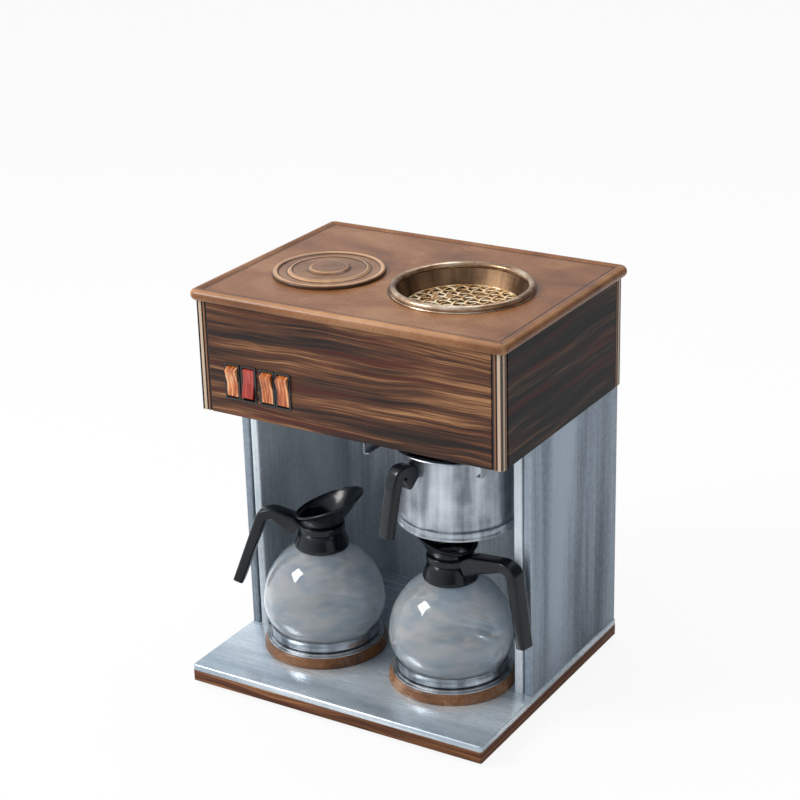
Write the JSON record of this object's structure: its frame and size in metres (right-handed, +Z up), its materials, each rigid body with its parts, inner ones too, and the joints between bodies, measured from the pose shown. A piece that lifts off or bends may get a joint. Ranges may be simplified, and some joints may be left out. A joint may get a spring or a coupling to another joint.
{
  "type": "commercial coffee brewer",
  "caption": "Low pour-over coffee brewer: wood-grain head on a stainless column and deck, warmers above and below, glass decanters and a pull-out brew funnel.",
  "frame": {"origin": "middle of the object's footprint, on the counter that the feet stand on", "axes": "+Z up, front of the brewer towards -Y, +X to the right of a person facing it"},
  "size_m": [0.428, 0.368, 0.512],
  "materials": {
    "stainless": "vertical brushed stainless sheet",
    "deck_steel": "polished stainless deck",
    "wood_laminate": "walnut-grain laminate, satin",
    "dark_wood_laminate": "dark walnut-grain laminate, satin",
    "trim_strip": "brown enamelled corner trim",
    "brown_enamel": "brown enamel, satin",
    "warmer_ring_enamel": "copper-brown enamel",
    "warmer_steel": "turned steel landing",
    "element_iron": "cast element",
    "bronze_rim": "bronze-tone rim and bowl",
    "screen_wire": "woven brass wire",
    "tank_steel": "mill finish stainless",
    "gasket_rubber": "moulded gasket",
    "copper_tube": "drawn copper tube",
    "control_plastic": "black moulded plastic",
    "foot_rubber": "black moulded rubber",
    "amber_rocker": "amber translucent plastic",
    "red_rocker": "red translucent plastic",
    "funnel_steel": "spun stainless",
    "handle_plastic": "black moulded plastic",
    "cup_steel": "pressed stainless",
    "decanter_glass": "clear blown glass"
  },
  "bodies": {
    "brewer_body": {"alcove_liner": "stainless", "base_band": "dark_wood_laminate", "base_bottom": "stainless", "base_deck": "deck_steel", "basin_bowl": "bronze_rim", "basin_ring": "bronze_rim", "cord_gland": "control_plastic", "corner_trims": "trim_strip", "fill_tube": "copper_tube", "foot_screws": "stainless", "funnel_rails": "stainless", "head_floor": "stainless", "head_front_panel": "wood_laminate", "head_left_panel": "dark_wood_laminate", "head_rear_panel": "wood_laminate", "head_right_panel": "dark_wood_laminate", "hot_water_tube": "copper_tube", "limit_thermostat": "control_plastic", "rear_panel": "stainless", "rear_screws": "stainless", "rubber_feet": "foot_rubber", "side_panel_left": "stainless", "side_panel_right": "stainless", "spray_head": "stainless", "switch_housings": "control_plastic", "tank": "tank_steel", "tank_gasket": "gasket_rubber", "tank_heater": "tank_steel", "tank_lid": "tank_steel", "tank_lid_screws": "tank_steel", "terminal_block": "control_plastic", "thermostat": "control_plastic", "top_pan": "brown_enamel", "upper_warmer_element": "element_iron", "upper_warmer_plate": "brown_enamel", "warmer_element_left": "element_iron", "warmer_element_right": "element_iron", "warmer_nuts": "tank_steel", "warmer_plate_left": "warmer_steel", "warmer_plate_right": "warmer_steel", "warmer_ring_left": "warmer_ring_enamel", "warmer_ring_right": "warmer_ring_enamel"},
    "decanter_left": {"decanter_left_cup": "cup_steel", "decanter_left_glass": "decanter_glass", "decanter_left_collar": "handle_plastic", "decanter_left_handle": "handle_plastic"},
    "decanter_right": {"decanter_right_cup": "cup_steel", "decanter_right_glass": "decanter_glass", "decanter_right_collar": "handle_plastic", "decanter_right_handle": "handle_plastic"},
    "brew_funnel": {"funnel_body": "funnel_steel", "funnel_handle": "handle_plastic", "funnel_rack": "funnel_steel"},
    "pour_screen": {"basin_screen": "screen_wire"},
    "switch_1": {"rocker_1": "amber_rocker"},
    "switch_2": {"rocker_2": "red_rocker"},
    "switch_3": {"rocker_3": "amber_rocker"},
    "switch_4": {"rocker_4": "amber_rocker"}
  },
  "joints": [
    {"name": "decanter_left_slide", "type": "slide", "parent": "brewer_body", "child": "decanter_left", "axis": [0, -1, 0], "range_m": [0, 0.24]},
    {"name": "decanter_right_slide", "type": "slide", "parent": "brewer_body", "child": "decanter_right", "axis": [0, -1, 0], "range_m": [0, 0.24]},
    {"name": "funnel_slide", "type": "slide", "parent": "brewer_body", "child": "brew_funnel", "axis": [0, -1, 0], "range_m": [0, 0.17]},
    {"name": "screen_lift", "type": "slide", "parent": "brewer_body", "child": "pour_screen", "axis": [0, 0, 1], "range_m": [0, 0.06]},
    {"name": "switch_1_press", "type": "hinge", "parent": "brewer_body", "child": "switch_1", "pos_m": [-0.159, -0.11947, 0.396], "axis": [1, 0, 0], "range_deg": [-16, 0]},
    {"name": "switch_2_press", "type": "hinge", "parent": "brewer_body", "child": "switch_2", "pos_m": [-0.1355, -0.11947, 0.396], "axis": [1, 0, 0], "range_deg": [0, 16]},
    {"name": "switch_3_press", "type": "hinge", "parent": "brewer_body", "child": "switch_3", "pos_m": [-0.109, -0.11947, 0.396], "axis": [1, 0, 0], "range_deg": [-16, 0]},
    {"name": "switch_4_press", "type": "hinge", "parent": "brewer_body", "child": "switch_4", "pos_m": [-0.0865, -0.11947, 0.396], "axis": [1, 0, 0], "range_deg": [-16, 0]}
  ]
}
